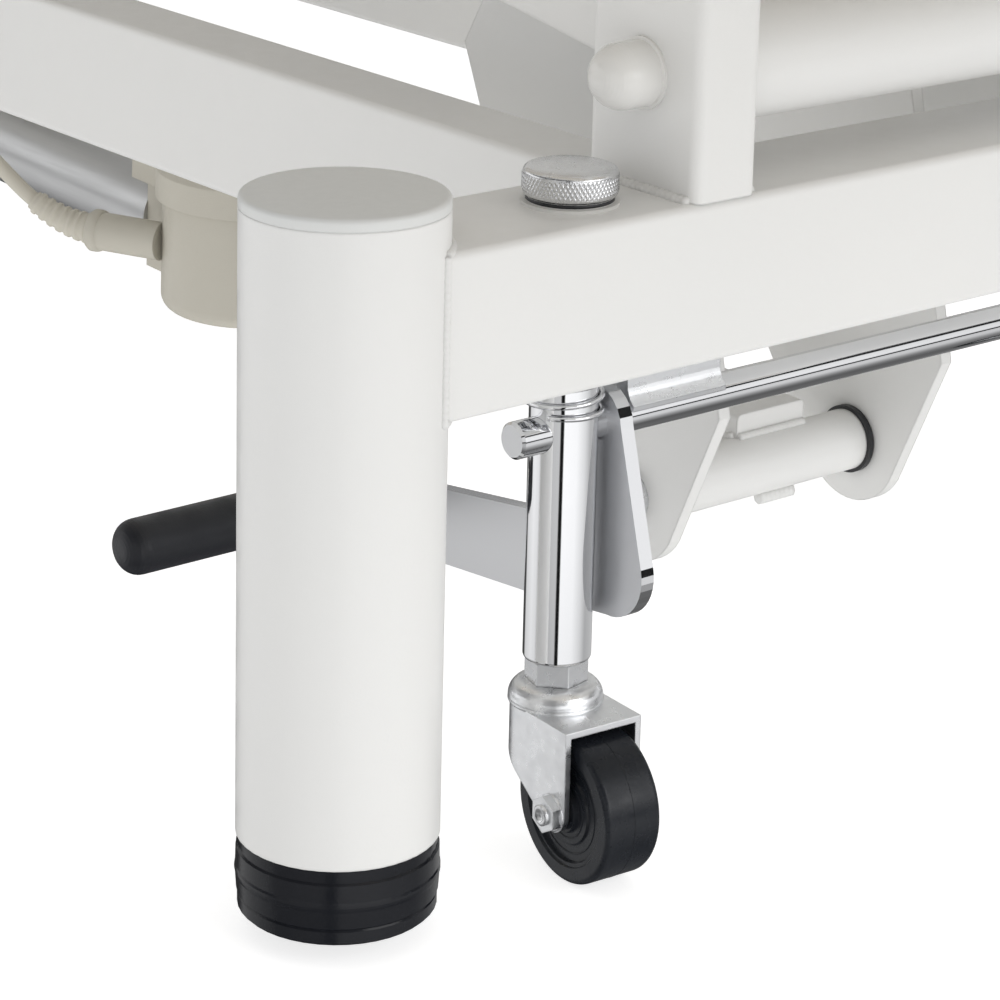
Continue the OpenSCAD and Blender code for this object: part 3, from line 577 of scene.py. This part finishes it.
def ring_round(place, radius, height, steps):
    """A closed circle of points about local Z at a height, all in millimetres."""
    return [place @ V(radius * math.cos(a), radius * math.sin(a), height)
            for a in [2 * math.pi * i / steps for i in range(steps)]]


def upright(x, y):
    """A matrix that moves to a place on the floor given in millimetres, without turning."""
    return Matrix.Translation((x * MM, y * MM, 0))


def in_mm(profile):
    """A (radius, height) profile given in millimetres, in metres."""
    return [(r * MM, h * MM) for r, h in profile]


def mirrored(points, mx, my):
    """The points with X or Y turned to the other side of the couch."""
    return [Vector((p.x * (-1 if mx else 1), p.y * (-1 if my else 1), p.z)) for p in points]


# ---- Weld beads ----------------------------------------------------------------------------


# Distance between a bead's points and between its scales, in millimetres
WELD_STEP = 0.55
WELD_SCALE = 2.2


def add_weld(bm, points, radius):
    """A bead of overlapping scales along the points, its radius in millimetres."""
    per = WELD_SCALE / WELD_STEP

    def scales(i):
        phase = (i / per) % 1.0
        swell = 0.86 + 0.2 * math.sqrt(max(0.0, 1 - (2 * phase - 1) ** 2))
        return radius * MM * swell

    add_tube(bm, even(points, WELD_STEP * MM), scales, 8)


def add_end_weld(bm, x, y, z, top):
    """Three beads round the end of a frame's cross tube: under it and up both its sides."""
    add_weld(bm, [V(x, y - 12.5, z), V(x, y + 12.5, z)], 1.3)
    for side in (y - 12.5, y + 12.5):
        add_weld(bm, [V(x, side, z), V(x, side, top)], 1.3)


def loop_box_x(x, y0, y1, z0, z1):
    """A closed rectangle across X."""
    return [V(x, y0, z0), V(x, y1, z0), V(x, y1, z1), V(x, y0, z1), V(x, y0, z0)]


def arc_x(x, y, z, r, a0, a1, n=24):
    """An arc across X between two angles in degrees, measured from +Y."""
    return [V(x, y + r * math.cos(math.radians(a0 + (a1 - a0) * i / n)),
              z + r * math.sin(math.radians(a0 + (a1 - a0) * i / n))) for i in range(n + 1)]


def base_welds():
    """Beads where the base's tubes meet, mirrored to all its corners."""
    bm = bmesh.new()
    z0, z1 = BEAM_BOTTOM + 0.4, BEAM_TOP - 0.3
    # Half the angle of the post that the beam's end takes up
    half = math.degrees(math.asin(25 / POST_R))
    ring = [V(-POST_X + POST_R * math.cos(math.radians(a)),
              -POST_Y + POST_R * math.sin(math.radians(a)), z1)
            for a in [-half + 2 * half * i / 30 for i in range(31)]]
    low = [Vector((p.x, p.y, z0 * MM)) for p in reversed(ring)]
    post = ring + low + [ring[0]]
    rail = [V(x, -535, z) for x, z in ((-125, z1), (-125, z0), (-RAIL_FACE, z0), (-RAIL_FACE, z1))]
    for mx in (0, 1):
        for my in (0, 1):
            add_weld(bm, mirrored(post, mx, my), 1.5)
            add_weld(bm, mirrored(rail, mx, my), 1.6)
            if not my:
                # Both sides of a front upright, which stands on the end beam
                for x in (-125, -100):
                    side = [V(x, -582, BEAM_TOP), V(x, -538, BEAM_TOP)]
                    add_weld(bm, mirrored(side, mx, 0), 2.1)
        # All round a rear upright, which stands on the side rail
        foot = [V(x, y, BEAM_TOP) for x, y in
                ((-125, -20), (-125, 21), (-121, 25.5), (-104, 25.5), (-100, 21), (-100, -20),
                 (-104, -24.5), (-121, -24.5), (-125, -20))]
        add_weld(bm, mirrored(foot, mx, 0), 1.7)
        # Ends of the cross members
        for y in (340, 515):
            cross = loop_box_x(-RAIL_FACE, y - 20, y + 20, 162.9, 202.9)
            add_weld(bm, mirrored(cross, mx, 0), 1.5)
    # Both sides of the two anchor lugs
    for x in (-16, -10, 10, 16):
        add_weld(bm, [V(x, 321, 158.9), V(x, 359, 158.9)], 1.3)
    piece("base_welds", "base", bm, "painted_steel")


# The lift arms at their lowest, in degrees and millimetres
ARM_ANGLE, ARM_LENGTH, PIVOT_Z = 9, 500, 243.4
# From the lower pivot to the arms' torque tube
TORQUE_TUBE = 121


def arm_welds(name, body, pivot_y, levers):
    """Beads at both ends of a pair of lift arms and on their cross tube and lever plates."""
    bm = bmesh.new()
    along, rise = math.cos(math.radians(ARM_ANGLE)), math.sin(math.radians(ARM_ANGLE))
    for end in (0, 1):
        cy, cz = pivot_y + ARM_LENGTH * along * end, PIVOT_Z + ARM_LENGTH * rise * end
        mid = ARM_ANGLE + 180 * end
        for side in (-1, 1):
            a = arc_x(side * 72, cy, cz, 19.3, mid - 70, mid + 70)
            b = arc_x(side * 92, cy, cz, 19.3, mid + 70, mid - 70)
            add_weld(bm, a + b + [a[0]], 1.5)
    sy, sz = pivot_y + TORQUE_TUBE * along, PIVOT_Z + TORQUE_TUBE * rise
    for x in [-72, 72] + ([-55, -50, 50, 55] if levers else []):
        add_weld(bm, arc_x(x, sy, sz, 14.3, 0, 360, 40), 1.6)
    piece(name, body, bm, "painted_steel")


# The actuator's own frame: its origin is at the push link's pivot, and Y runs along the actuator
STRUT = Matrix.Translation(V(0, -483, 73)) @ Matrix.Rotation(math.radians(2.0045), 4, "X")


def link_welds():
    """Beads between the push link's pivot tube, its bar and the motor's flange."""
    bm = bmesh.new()
    for x in (-7.2, 25.2):
        add_weld(bm, [STRUT @ p for p in arc_x(x, 0, 0, 11.2, 84, -66, 20)], 1.7)
    add_weld(bm, [STRUT @ V(-6.5, -0.6, 11.3), STRUT @ V(24.5, -0.6, 11.3)], 1.5)
    add_weld(bm, [STRUT @ V(1, -4.5, -11.4), STRUT @ V(17, -4.5, -11.4)], 2.4)
    ring = [STRUT @ V(9 + x, 305 - math.sqrt(max(0, 35.3 ** 2 - (9 + x) ** 2)), 19.5)
            for x in range(-16, 17, 2)]
    add_weld(bm, ring, 1.4)
    piece("link_welds", "actuator", bm, "painted_steel")


def top_welds():
    """Beads on the chassis and the seat frame, and on the back frame."""
    bm = bmesh.new()
    # Lugs of the arms' upper pivots, under the chassis
    for y in (-65.7, 494.3):
        for s in (-1, 1):
            for x in (98.4, 106.6):
                add_weld(bm, [V(s * x, y - 29, 345.6), V(s * x, y + 29, 345.6)], 1.6)
    # Cross tubes of the chassis
    for y in (-870, 14.3, 147.7, 544.3):
        for s in (-1, 1):
            add_weld(bm, loop_box_x(s * 97, y - 20, y + 20, 345.8, 385.4), 1.4)
    # Cross tubes of the seat frame
    for y in (-897.5, -470, 220):
        for s in (-1, 1):
            add_end_weld(bm, s * FRAME_X, y, 386, 405)
    piece("top_welds", "top", bm, "painted_steel")
    bm = bmesh.new()
    for y in (325, 429.9, 897.5):
        for s in (-1, 1):
            add_end_weld(bm, s * FRAME_X, y, 386.6, 405)
    piece("back_welds", "back", bm, "painted_steel")


base_welds()
arm_welds("front_arm_welds", "arm_front", -559.5, True)
arm_welds("rear_arm_welds", "arm_rear", 0.5, False)
link_welds()
top_welds()

# ---- Knurled knobs -------------------------------------------------------------------------


KNOB_R = 14.25
# Knurls round a knob, the rows of points they have up its side, how far they turn, their depth
KNURLS, KNURL_ROWS, KNURL_TURNS, KNURL_DEPTH = 64, 16, 2.5, 0.017


def knob(corner, x, y):
    """A knob with crossed knurls, and its short stem inside the castor tube."""
    bm = bmesh.new()
    base = BEAM_TOP + 2.5
    rows = [(0.0, base), (12.9, base), (14.0, base + 0.5), (KNOB_R, base + 1.0)]
    first = len(rows)
    rows += [(KNOB_R, base + 1.2 + 5.9 * i / KNURL_ROWS) for i in range(KNURL_ROWS + 1)]
    last = len(rows)
    rows += [(KNOB_R, base + 7.3), (13.9, base + 7.9), (13.3, base + 8.4), (12.9, base + 8.5),
             (6.0, base + 8.5), (0.0, base + 8.5)]

    def knurl(a, i):
        if not first <= i < last:
            return 1.0
        z = (i - first) / KNURL_ROWS * 2 * math.pi * KNURL_TURNS
        ridge = max(math.cos(KNURLS * a + z), math.cos(KNURLS * a - z))
        fade = min(1.0, (i - first) / 2, (last - 1 - i) / 2)
        return 1.0 + KNURL_DEPTH * ridge * fade

    add_lathe(bm, in_mm(rows), upright(x, y), 6 * KNURLS, knurl)
    stem = [(8.1, base + 0.1), (8.1, base - 13.5), (7.4, base - 14), (0, base - 14)]
    add_lathe(bm, in_mm(stem), upright(x, y), 48)
    piece("knurled_knob_" + corner, "knob_" + corner, bm, "chrome_steel", "knob_metal",
          stands_for=["stem_knob_" + corner])


def castor_xy(corner):
    """Place of a corner's castor, by its two letters: front or rear, left or right."""
    return (-CASTOR_X if corner[1] == "l" else CASTOR_X,
            -POST_Y if corner[0] == "f" else POST_Y)


for corner in CORNERS:
    knob(corner, *castor_xy(corner))

# ---- Castor races, bolt ends and moulding lines --------------------------------------------


# How far each fork is turned from straight back, in degrees
TURNS = {"fl": -4.5, "fr": 9, "rl": -12, "rr": 6}


def castor_details(corner):
    """Trim on one corner's fork and lines on its wheel."""
    place = upright(*castor_xy(corner)) @ Matrix.Rotation(math.radians(TURNS[corner]), 4, "Z")
    bm = bmesh.new()
    # Rolled rim of the race over the fork's crown, and the collar under the hexagon
    for radius, z, wire in ((14.0, 51.0, 0.75), (9.6, 56.9, 0.45)):
        add_tube(bm, ring_round(place, radius, z, 56), wire * MM, 8, closed=True)
    # A washer on both sides of the axle, and the bolt's end on one
    washer = [(5.9, -0.05), (5.9, 0.35), (5.5, 0.6), (4.6, 0.6), (4.6, 0.1)]
    for side in (-1, 1):
        axle = place @ axis_place(V(side * 14.0, -AXLE_TRAIL, AXLE_Z), (side, 0, 0))
        add_lathe(bm, in_mm(washer), axle, 40)
    end = place @ axis_place(V(-17.35, -AXLE_TRAIL, AXLE_Z), (-1, 0, 0))
    bolt = [(3.3, -0.2), (3.3, 0.9), (2.9, 1.25), (1.9, 1.35), (1.5, 0.5), (0, 0.4)]
    add_lathe(bm, in_mm(bolt), end, 32)
    piece("castor_trim_" + corner, "swivel_" + corner, bm, "zinc_steel")
    # Parting line round the tread and two raised rings on each face of the wheel
    bm = bmesh.new()
    hub = place @ axis_place(V(0, -AXLE_TRAIL, AXLE_Z), (1, 0, 0))
    for radius, h, wire in ((23.37, 0.0, 0.13), (14.0, 8.15, 0.3), (14.0, -8.15, 0.3),
                            (9.0, 8.95, 0.3), (9.0, -8.95, 0.3)):
        add_tube(bm, ring_round(hub, radius, h, 72), wire * MM, 6, closed=True)
    piece("wheel_lines_" + corner, "wheel_" + corner, bm, "wheel_plastic")


for corner in CORNERS:
    castor_details(corner)

# ---- Springs of the castor tubes, and painted shade under the knobs ------------------------


# Height of the lowest coil, just above the cross shaft, and the coils' sizes
COIL_Z = 137.4 + 5.75 + 0.95
COIL_R, COIL_WIRE, COIL_PITCH, COIL_TURNS = 11.5, 0.85, 5.2, 2.5


def tube_springs(end, y):
    """A coil round each castor tube: flat at its lower end, then rising into the beam."""
    bm = bmesh.new()
    for x in (-CASTOR_X, CASTOR_X):
        path = []
        for i in range(181):
            turns = COIL_TURNS * i / 180
            a = 2 * math.pi * turns + 3.6
            path.append(V(x + COIL_R * math.cos(a), y + COIL_R * math.sin(a),
                          COIL_Z + COIL_PITCH * max(0.0, turns - 0.35)))
        add_tube(bm, path, COIL_WIRE * MM, 12)
    piece("coil_springs_" + end, "castors_" + end, bm, "chrome_steel",
          stands_for=["tube_springs_" + end])


tube_springs("front", -POST_Y)
tube_springs("rear", POST_Y)


def knob_gap_shades():
    """A black ring in the gap between each knob and its washer: painted shade for the shadowed gap,
    not a real part.
    """
    bm = bmesh.new()
    # Painted shade: a black ring filling the shadowed gap under the knob
    gap_shade_profile = [(10.8, 208.95), (13.0, 208.95), (13.35, 209.2), (13.35, 210.1), (13.0, 210.36),
            (10.8, 210.36), (10.8, 208.95)]
    for x in (-CASTOR_X, CASTOR_X):
        for y in (-POST_Y, POST_Y):
            add_lathe(bm, in_mm(gap_shade_profile), upright(x, y), 64)
    piece("knob_gap_shades", "base", bm, "white_nylon", "black_plastic")


knob_gap_shades()

# ---- Motor cable ---------------------------------------------------------------------------

# The lead's path in the actuator's frame, from the motor's port to the side rail
CABLE = [(-43.6, 348.6, 0), (-49, 358.6, 1), (-54, 367, 4), (-60, 376, 10), (-66, 386, 19),
         (-73, 398, 31), (-79, 411, 45), (-83, 425, 58), (-86.5, 439, 70), (-91, 449, 79),
         (-97, 455, 84)]


LEAD_R = 3.2
RELIEF_STEPS = 66
RIB_STEPS = 8.2


def motor_cable():
    """The motor's lead with its gland, ribbed strain relief and the grommet where it ends."""
    course = smooth_path([STRUT @ V(*p) for p in CABLE], 8)
    port = STRUT @ V(-44.1, 349.5, 0)
    bm = bmesh.new()
    add_tube(bm, even(course, 1.5 * MM), LEAD_R * MM, 16)
    cable = piece("motor_lead", "actuator", bm, "cable_sheath", stands_for=["motor_cable"])

    def ribs(i):
        t = i / RELIEF_STEPS
        wave = 0.5 + 0.5 * math.tanh(4 * math.sin(2 * math.pi * i / RIB_STEPS))
        return (6.3 - 2.2 * t + 0.75 * wave) * MM

    bm = bmesh.new()
    add_tube(bm, even(course, 0.5 * MM)[:RELIEF_STEPS], ribs, 20)
    relief = piece("lead_strain_relief", "actuator", bm, "cable_sheath")
    bm = bmesh.new()
    gland = [(0, -3), (7.6, -3), (8.6, -2.2), (8.9, -1), (8.9, 1.4), (8.2, 2.4), (6.4, 3.0),
             (0, 3.4)]
    add_lathe(bm, in_mm(gland), axis_place(port, STRUT.to_3x3() @ Vector((-0.469, 0.883, 0))), 40)
    piece("lead_gland", "actuator", bm, "beige_plastic")
    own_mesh(cable)
    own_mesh(relief)
    end = STRUT @ V(*CABLE[-1])
    bm = bmesh.new()
    grommet = [(3.5, -2), (6.0, -2), (7.0, 0), (7.4, 0.8), (7.0, 2.0), (5.2, 2.8), (3.8, 2.5),
               (3.5, -2)]
    seat = Vector((-RAIL_FACE * MM, end.y - 0.6 * MM, end.z - 1.2 * MM))
    add_lathe(bm, in_mm(grommet), axis_place(seat, (1, 0, 0)), 32)
    piece("lead_grommet", "base", bm, "black_plastic")


motor_cable()

# ---- Screws --------------------------------------------------------------------------------


def add_screw(bm, at, axis, r):
    """A pan-headed screw with a hexagon recess, its head along axis."""
    steps = 24
    place = axis_place(at, axis)
    head = [(1, 0), (1, 0.12), (0.93, 0.42), (0.72, 0.68), (0.55, 0.74)]
    add_lathe(bm, [(q * r, h * r) for q, h in head], place, steps)
    rim = bm.verts[:][-steps:]
    hexa, deep = [], []
    for k in range(steps):
        a = 2 * math.pi * k / steps
        q = 0.36 * r / math.cos((a % (math.pi / 3)) - math.pi / 6)
        hexa.append(bm.verts.new(place @ Vector((q * math.cos(a), q * math.sin(a), 0.74 * r))))
        deep.append(bm.verts.new(place @ Vector((q * math.cos(a), q * math.sin(a), 0.3 * r))))
    for k in range(steps):
        j = (k + 1) % steps
        bm.faces.new((rim[k], rim[j], hexa[j], hexa[k]))
        bm.faces.new((hexa[k], hexa[j], deep[j], deep[k]))
    bm.faces.new(deep)


def screws(name, body, r, axis, points):
    """A piece of equal screws, their head radius in millimetres."""
    bm = bmesh.new()
    for at in points:
        add_screw(bm, at, axis, r * MM)
    piece(name, body, bm, "zinc_steel", smooth=False)


DOWN = (0, 0, -1)
screws("seat_board_screws", "top", 5, DOWN,
       [V(s * 298, y, 385.66) for s in (-1, 1) for y in (-850, -620, -340, -120, 100)])
screws("back_board_screws", "back", 5, DOWN,
       [V(s * 298, y, 386.4) for s in (-1, 1) for y in (370, 520, 670, 820)])
screws("control_box_screws", "base", 3, DOWN,
       [V(x, y, 160.9) for x in (-47, 47) for y in (368, 487)])
screws("motor_lid_screws", "actuator", 2.6, STRUT.to_3x3() @ Vector((0, 0, 1)),
       [STRUT @ V(x, y, z) for x, y, z in
        ((-22, 345, 32), (22, 345, 32), (-24, 283, 38.9), (24, 283, 38.9))])

# ---- Cushions ------------------------------------------------------------------------------


def block(name, lo, hi, r):
    """A box with rounded edges as a new object, not yet a piece."""
    bm = bmesh.new()
    bmesh.ops.create_cube(bm, size=1.0)
    for v in bm.verts:
        v.co = Vector([(hi[k] + lo[k]) / 2 + v.co[k] * (hi[k] - lo[k]) for k in range(3)])
    posts = [e for e in bm.edges if abs(e.verts[0].co.z - e.verts[1].co.z) > 1e-5]
    bmesh.ops.bevel(bm, geom=posts, offset=26 * MM, segments=8, profile=0.5, affect="EDGES")
    top = [e for e in bm.edges if all(abs(v.co.z - hi[2]) < 1e-6 for v in e.verts)
           and len(e.link_faces) == 2
           and any(abs(f.normal.z) < 0.3 for f in e.link_faces)]
    bmesh.ops.bevel(bm, geom=top, offset=r, segments=6, profile=0.5, affect="EDGES")
    mesh = bpy.data.meshes.new(name)
    bm.to_mesh(mesh)
    bm.free()
    obj = bpy.data.objects.new(name, mesh)
    scene.collection.objects.link(obj)
    return obj


def apply_all(obj):
    """Replaces the mesh by what its modifiers make of it."""
    dg = bpy.context.evaluated_depsgraph_get()
    mesh = bpy.data.meshes.new_from_object(obj.evaluated_get(dg))
    obj.modifiers.clear()
    old = obj.data
    obj.data = mesh
    bpy.data.meshes.remove(old)


def inflate(obj, voxel, cap, floor_z, frames=20):
    """Remeshes a block and blows it up as cloth, pinned where it lies on its board.

    No point moves farther than cap from the block, so that the cushion keeps its size.
    """
    m = obj.modifiers.new("remesh", "REMESH")
    m.mode = "VOXEL"
    m.voxel_size = voxel
    m.use_smooth_shade = True
    apply_all(obj)
    rest = [v.co.copy() for v in obj.data.vertices]
    pin = obj.vertex_groups.new(name="pin")
    pin.add([i for i, c in enumerate(rest) if c.z < floor_z + 5 * MM], 1.0, "REPLACE")
    c = obj.modifiers.new("cloth", "CLOTH")
    s = c.settings
    s.quality = 5
    s.mass = 0.3
    s.tension_stiffness = 18
    s.compression_stiffness = 18
    s.shear_stiffness = 8
    s.bending_stiffness = 1.2
    s.use_pressure = True
    s.uniform_pressure_force = 4.0
    s.vertex_group_mass = "pin"
    s.effector_weights.gravity = 0
    c.point_cache.frame_start, c.point_cache.frame_end = 1, frames
    for f in range(1, frames + 1):
        scene.frame_set(f)
    apply_all(obj)
    scene.frame_set(1)
    for v, r in zip(obj.data.vertices, rest):
        d = v.co - r
        if d.length > cap:
            d *= cap / d.length
        v.co = r + d
        v.co.z = max(v.co.z, floor_z)


def on_surface(tree, point, lift):
    """The cushion's nearest point, moved outwards by lift."""
    near, normal, _, _ = tree.find_nearest(point)
    return near + normal * lift


def plan(x, y0, y1, z, r, n=10):
    """A closed rectangle with round corners at height z, counter-clockwise."""
    pts = []
    for cx, cy, a0 in ((x - r, y1 - r, 0), (-x + r, y1 - r, 90),
                       (-x + r, y0 + r, 180), (x - r, y0 + r, 270)):
        for i in range(n + 1):
            a = math.radians(a0 + 90 * i / n)
            pts.append(Vector((cx + r * math.cos(a), cy + r * math.sin(a), z)))
    pts.append(pts[0].copy())
    return pts


# A stitch rises out of the vinyl and dips back into it: part of the way, height in millimetres
STITCH = ((0.12, -0.5), (0.3, 0.35), (0.5, 0.5), (0.7, 0.35), (0.88, -0.5))


def cushion(node, body, name):
    """An inflated section in a CAD pad's place, with piping round it and a stitched seam."""
    lo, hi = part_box(node)
    # The block is smaller than the pad by what the cloth gains
    obj = block(name, (lo.x + 5 * MM, lo.y + 4 * MM, lo.z),
                (hi.x - 5 * MM, hi.y - 4 * MM, hi.z - 5 * MM), 13 * MM)
    inflate(obj, 8 * MM, 10 * MM, lo.z)
    s = obj.modifiers.new("sub", "SUBSURF")
    s.levels = s.render_levels = 1
    apply_all(obj)
    for f in obj.data.polygons:
        f.use_smooth = True
    obj.data.materials.clear()
    obj.data.materials.append(MATS["upholstery"])
    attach(obj, body)
    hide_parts(node)
    tree = BVHTree.FromPolygons([v.co for v in obj.data.vertices],
                                [tuple(f.vertices) for f in obj.data.polygons])
    bm = bmesh.new()
    for z, r in ((hi.z - 11 * MM, 2.3), (lo.z + 7 * MM, 2.0)):
        path = even(plan(hi.x, lo.y, hi.y, z, 28 * MM), 6 * MM)[:-1]
        ring = [on_surface(tree, q, 0.4 * MM) for q in path]
        add_tube(bm, ring, r * MM, 8, closed=True)
    piece(name + "_piping", body, bm, "upholstery", "piping")
    bm = bmesh.new()
    margin = 26 * MM
    seam = even(plan(hi.x - margin, lo.y + margin, hi.y - margin, hi.z + 4 * MM, margin),
                6.2 * MM)
    for a, b in zip(seam, seam[1:]):
        stitch = [on_surface(tree, a + (b - a) * t, rise * MM) for t, rise in STITCH]
        add_tube(bm, stitch, 0.55 * MM, 5)
    piece(name + "_stitching", body, bm, "upholstery", "thread")


cushion("seat_pad", "top", "seat_cushion")
cushion("back_pad", "back", "back_cushion")

# ---- Floor ---------------------------------------------------------------------------------


def floor():
    """A pale floor that reflections don't see, so that the studio's bands stay clean in chrome."""
    bm = bmesh.new()
    bmesh.ops.create_grid(bm, x_segments=1, y_segments=1, size=14)
    mesh = bpy.data.meshes.new("floor")
    bm.to_mesh(mesh)
    bm.free()
    mat = bpy.data.materials.new("floor")
    mat.use_nodes = True
    b = mat.node_tree.nodes["Principled BSDF"]
    b.inputs["Base Color"].default_value = (0.62, 0.62, 0.62, 1)
    b.inputs["Roughness"].default_value = 0.7
    b.inputs["Emission Color"].default_value = (1, 1, 1, 1)
    b.inputs["Emission Strength"].default_value = 0.74
    mesh.materials.append(mat)
    obj = bpy.data.objects.new("floor", mesh)
    scene.collection.objects.link(obj)
    obj.visible_glossy = False


floor()
